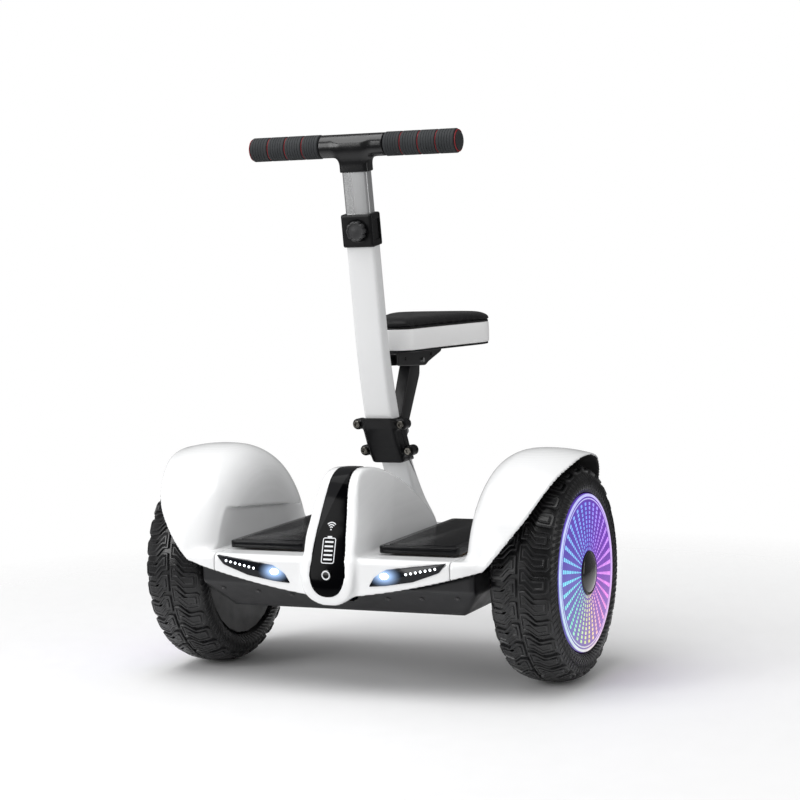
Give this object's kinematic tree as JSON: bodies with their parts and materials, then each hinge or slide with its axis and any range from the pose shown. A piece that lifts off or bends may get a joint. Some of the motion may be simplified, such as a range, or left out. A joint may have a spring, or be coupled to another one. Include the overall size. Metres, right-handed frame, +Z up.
{
  "type": "seated self balancing scooter",
  "caption": "Two-wheeled self-balancing scooter with hub-motor wheels, foot deck, leaning steering stem, height-adjustable T-handlebar and folding seat.",
  "frame": {"origin": "centre of the flat underside of the lower pan, below the middle of the wheel track", "axes": "+Z up, +X along the wheel axis towards the right wheel as seen from the headlights, -Y forward towards the headlights"},
  "size_m": [0.5346, 0.3695, 0.6429],
  "materials": {
    "tyre": "moulded rubber",
    "cast_aluminium": "as cast",
    "steel": "bright zinc",
    "light_cover": "clear moulding lit from behind",
    "gloss_black": "piano gloss",
    "copper": "enamelled copper windings",
    "pan_plastic": "fine texture",
    "white_shell": "gloss",
    "lamp_black": "smoked lens",
    "red_lamp": "clear red lens",
    "battery_wrap": "shrink wrap",
    "circuit_board": "solder mask",
    "black_plastic": "satin",
    "pad_rubber": "ribbed",
    "sensor_film": "film",
    "white_paint": "satin paint",
    "aluminium": "brushed",
    "grip_foam": "knurled",
    "black_steel": "satin powder coat",
    "seat_band": "smooth",
    "seat_leather": "fine grain"
  },
  "bodies": {
    "chassis": {"chassis_frame": "cast_aluminium", "axle_clamp_left": "cast_aluminium", "axle_clamp_right": "cast_aluminium", "lower_pan": "pan_plastic", "top_shell": "white_shell", "fender_left": "white_shell", "fender_right": "white_shell", "console_panel": "gloss_black", "headlight_left": "lamp_black", "headlight_right": "lamp_black", "tail_light": "red_lamp", "battery_pack": "battery_wrap", "control_board": "circuit_board", "charge_port": "black_plastic", "foot_sensor_left": "sensor_film", "foot_sensor_right": "sensor_film", "axle_left": "steel", "axle_right": "steel", "stator_left": "copper", "stator_right": "copper"},
    "wheel_left": {"tyre_left": "tyre", "motor_drum_left": "cast_aluminium", "motor_cover_left": "cast_aluminium", "axle_bearing_left": "steel", "light_cover_left": "light_cover", "hub_cap_left": "gloss_black"},
    "wheel_right": {"tyre_right": "tyre", "motor_drum_right": "cast_aluminium", "motor_cover_right": "cast_aluminium", "axle_bearing_right": "steel", "light_cover_right": "light_cover", "hub_cap_right": "gloss_black"},
    "power_button": {"power_button": "gloss_black"},
    "charge_port_cap": {"charge_port_cap": "pad_rubber"},
    "foot_pad_left": {"foot_pad_left": "pad_rubber"},
    "foot_pad_right": {"foot_pad_right": "pad_rubber"},
    "steering": {"stem_shaft": "steel", "lower_stem": "white_paint", "bracket_front": "black_plastic", "bracket_rear": "black_plastic", "bracket_bolt_1": "steel", "bracket_bolt_2": "steel", "bracket_bolt_3": "steel", "bracket_bolt_4": "steel", "outer_post": "white_paint", "collar": "black_plastic", "arm_pin": "steel"},
    "clamp_knob": {"clamp_knob": "black_plastic"},
    "handlebar": {"inner_tube": "aluminium", "handlebar": "black_plastic", "grip_left": "grip_foam", "grip_right": "grip_foam", "grip_cap_left": "grip_foam", "grip_cap_right": "grip_foam"},
    "seat_arm": {"seat_arm": "black_steel", "seat_pin": "steel"},
    "seat": {"seat_bracket": "black_steel", "seat_base": "black_plastic", "seat_band": "seat_band", "seat_cushion": "seat_leather"}
  },
  "joints": [
    {"name": "wheel_left_spin", "type": "hinge", "parent": "chassis", "child": "wheel_left", "pos_m": [-0.22275, 0, 0.039], "axis": [1, 0, 0], "continuous": true},
    {"name": "wheel_right_spin", "type": "hinge", "parent": "chassis", "child": "wheel_right", "pos_m": [0.22275, 0, 0.039], "axis": [1, 0, 0], "continuous": true},
    {"name": "steering_lean", "type": "hinge", "parent": "chassis", "child": "steering", "pos_m": [0, 0, 0.048], "axis": [0, 1, 0], "range_deg": [-10, 10]},
    {"name": "handlebar_height", "type": "slide", "parent": "steering", "child": "handlebar", "axis": [0, -0.1288, 0.9917], "range_m": [0, 0.075]},
    {"name": "clamp_knob_turn", "type": "hinge", "parent": "steering", "child": "clamp_knob", "pos_m": [0.001, -0.04278, 0.44027], "axis": [0, -0.9917, -0.1288], "range_deg": [0, 360]},
    {"name": "seat_arm_swing", "type": "hinge", "parent": "steering", "child": "seat_arm", "pos_m": [0, 0.058, 0.195], "axis": [1, 0, 0], "range_deg": [-25, 0]},
    {"name": "seat_fold", "type": "hinge", "parent": "seat_arm", "child": "seat", "pos_m": [0, 0.107, 0.278], "axis": [1, 0, 0], "range_deg": [-70, 0]},
    {"name": "foot_pad_left_press", "type": "slide", "parent": "chassis", "child": "foot_pad_left", "axis": [0, 0, -1], "range_m": [0, 0.0012]},
    {"name": "foot_pad_right_press", "type": "slide", "parent": "chassis", "child": "foot_pad_right", "axis": [0, 0, -1], "range_m": [0, 0.0012]},
    {"name": "power_button_press", "type": "slide", "parent": "chassis", "child": "power_button", "axis": [0, 1, 0], "range_m": [0, 0.0012]},
    {"name": "charge_port_cap_open", "type": "hinge", "parent": "chassis", "child": "charge_port_cap", "pos_m": [0.096, 0.147, 0.058], "axis": [1, 0, 0], "range_deg": [0, 100]}
  ]
}
